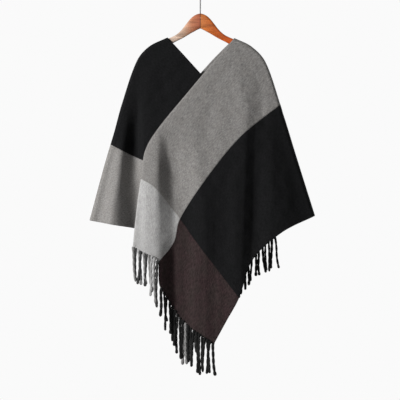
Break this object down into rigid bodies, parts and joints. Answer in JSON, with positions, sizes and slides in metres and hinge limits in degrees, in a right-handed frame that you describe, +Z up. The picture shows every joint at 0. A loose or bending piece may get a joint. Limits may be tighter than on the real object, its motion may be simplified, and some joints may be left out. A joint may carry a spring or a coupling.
{
  "type": "knitted poncho sweater on a wooden hanger",
  "caption": "V-neck knitted poncho of two sewn half-shawls in grey, black and brown blocks, fringed front and back, hung on a wooden hanger with a steel hook.",
  "frame": {"origin": "inner top of the hook's curve, where it rests on a rail", "axes": "+Z up, the front faces -Y, +X is the viewer's right of the front"},
  "size_m": [0.7393, 0.0987, 1.313],
  "materials": {
    "knit_grey": "matt fine knit, mid grey melange",
    "knit_light": "matt fine knit, light grey melange",
    "knit_brown": "matt fine knit, dark brown",
    "knit_black": "matt fine knit, black",
    "fringe_grey": "knotted yarn strands, mixed greys",
    "fringe_black": "knotted yarn strands, black",
    "hanger_wood": "orange-brown lacquered wood",
    "hanger_steel": "plain steel wire"
  },
  "bodies": {
    "root": {"right_narrow_body": "knit_grey", "right_narrow_end": "knit_light", "right_narrow_fringe": "fringe_grey", "right_wide_body": "knit_black", "right_wide_end": "knit_brown", "right_wide_fringe": "fringe_black", "left_wide_body": "knit_black", "left_wide_end": "knit_brown", "left_wide_fringe": "fringe_black", "left_narrow_body": "knit_grey", "left_narrow_end": "knit_light", "left_narrow_fringe": "fringe_grey", "hanger_arm_right": "hanger_wood", "hanger_arm_left": "hanger_wood", "hanger_hook": "hanger_steel"}
  },
  "joints": []
}
